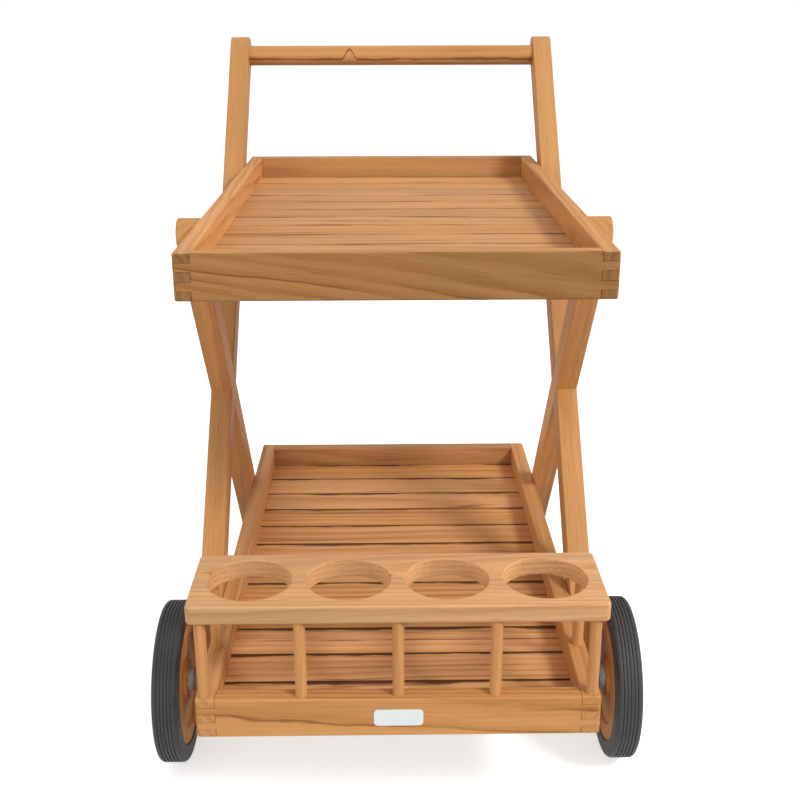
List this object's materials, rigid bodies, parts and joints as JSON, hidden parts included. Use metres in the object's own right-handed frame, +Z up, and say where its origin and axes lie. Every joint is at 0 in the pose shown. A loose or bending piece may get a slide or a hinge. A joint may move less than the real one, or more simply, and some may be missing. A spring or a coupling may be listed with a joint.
{
  "type": "serving cart",
  "caption": "Wooden serving cart with crossed legs, slatted upper and lower trays, a bottle rack with round holes, a round push handle and rubber-tyred wooden wheels.",
  "frame": {"origin": "on the floor, under the middle of the overall box", "axes": "+Z up; -Y is the front, with the bottle rack and wheels; +Y is the handle end; +X is the right-hand side seen from the front"},
  "size_m": [0.5992, 0.8504, 0.858],
  "materials": {
    "teak": "sanded, lightly oiled",
    "tyre": "moulded, matt",
    "grey_nylon": "moulded",
    "steel": "zinc plated",
    "brass": "turned",
    "label": "satin"
  },
  "bodies": {
    "chassis": {"axle": "steel", "axle_caps": "grey_nylon", "axle_washers": "steel", "bolt_inserts": "brass", "bottom_rim_front": "teak", "bottom_rim_left": "teak", "bottom_rim_rear": "teak", "bottom_rim_right": "teak", "bottom_slat_01": "teak", "bottom_slat_02": "teak", "bottom_slat_03": "teak", "bottom_slat_04": "teak", "bottom_slat_05": "teak", "bottom_slat_06": "teak", "bottom_slat_07": "teak", "bottom_slat_08": "teak", "bottom_slat_09": "teak", "bottom_slat_10": "teak", "bottom_slat_11": "teak", "bottom_slat_12": "teak", "foot_leg_left": "teak", "foot_leg_right": "teak", "handle_bar": "teak", "handle_leg_left": "teak", "handle_leg_right": "teak", "label_plate": "label", "lap_screws": "steel", "rack_board": "teak", "rack_post_front_1": "teak", "rack_post_front_2": "teak", "rack_post_front_3": "teak", "rack_post_front_4": "teak", "rack_post_front_5": "teak", "rack_post_rear_left": "teak", "rack_post_rear_right": "teak", "top_rim_front": "teak", "top_rim_left": "teak", "top_rim_rear": "teak", "top_rim_right": "teak", "top_slat_01": "teak", "top_slat_02": "teak", "top_slat_03": "teak", "top_slat_04": "teak", "top_slat_05": "teak", "top_slat_06": "teak", "top_slat_07": "teak", "top_slat_08": "teak", "top_slat_09": "teak", "top_slat_10": "teak", "top_slat_11": "teak", "top_slat_12": "teak", "tray_bolts": "steel"},
    "wheel_left": {"wheel_disc_left": "teak", "tyre_left": "tyre", "wheel_bush_left": "grey_nylon"},
    "wheel_right": {"wheel_disc_right": "teak", "tyre_right": "tyre", "wheel_bush_right": "grey_nylon"}
  },
  "joints": [
    {"name": "wheel_left_spin", "type": "hinge", "parent": "chassis", "child": "wheel_left", "pos_m": [-0.2773, -0.25082, 0.1], "axis": [1, 0, 0], "continuous": true},
    {"name": "wheel_right_spin", "type": "hinge", "parent": "chassis", "child": "wheel_right", "pos_m": [0.2773, -0.25082, 0.1], "axis": [1, 0, 0], "continuous": true}
  ]
}
